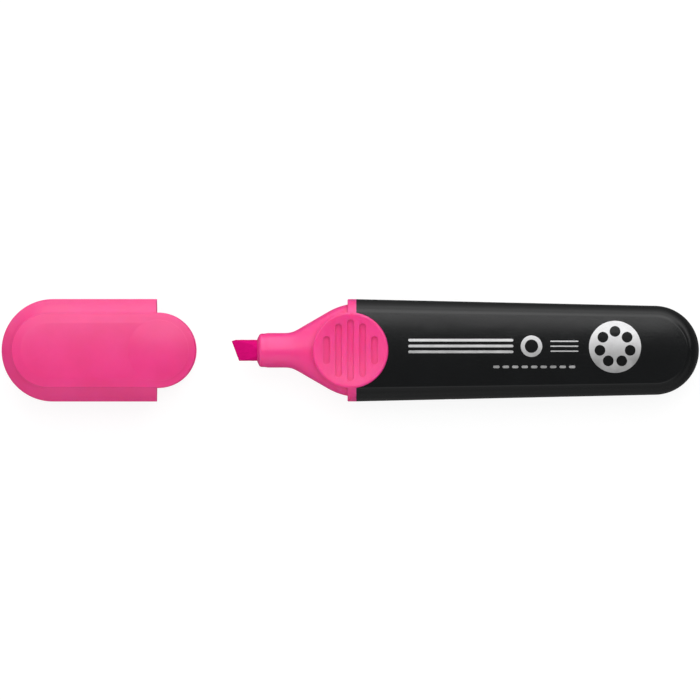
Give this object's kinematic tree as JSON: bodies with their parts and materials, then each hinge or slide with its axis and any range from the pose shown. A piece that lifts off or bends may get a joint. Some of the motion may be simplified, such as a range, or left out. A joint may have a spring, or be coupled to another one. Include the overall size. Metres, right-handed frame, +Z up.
{
  "type": "highlighter",
  "caption": "Flat highlighter marker with a round-ended barrel, flared nose with grip discs, chisel felt nib and a slide-off cap with tongues over the discs.",
  "frame": {"origin": "under the middle of the grip disc, halfway between the cap's closed end and the barrel's round end, on the plane the cap rests on", "axes": "+X along the pen from the nib towards the barrel's round end, +Y across the broad face towards the nib's longer corner, +Z up out of the broad face"},
  "size_m": [0.1621, 0.0238, 0.0173],
  "materials": {
    "barrel_black": "moulded polypropylene, satin gloss",
    "nose_pink": "moulded polypropylene, satin gloss",
    "nib_felt": "ink-soaked pressed felt",
    "reservoir_fibre": "ink-soaked polyester fibre bundle",
    "reservoir_wrap": "thin clear film, tinted by the ink behind it",
    "cap_pink": "moulded polypropylene, satin",
    "seal_pink": "soft polyethylene"
  },
  "bodies": {
    "pen": {"barrel": "barrel_black", "nose_section": "nose_pink", "chisel_nib": "nib_felt", "reservoir_core": "reservoir_fibre", "reservoir_film": "reservoir_wrap"},
    "cap": {"cap_shell": "cap_pink", "cap_seal_insert": "seal_pink"}
  },
  "joints": [
    {"name": "cap_slide", "type": "slide", "parent": "pen", "child": "cap", "axis": [1, 0, 0], "range_m": [0, 0.0443]}
  ]
}
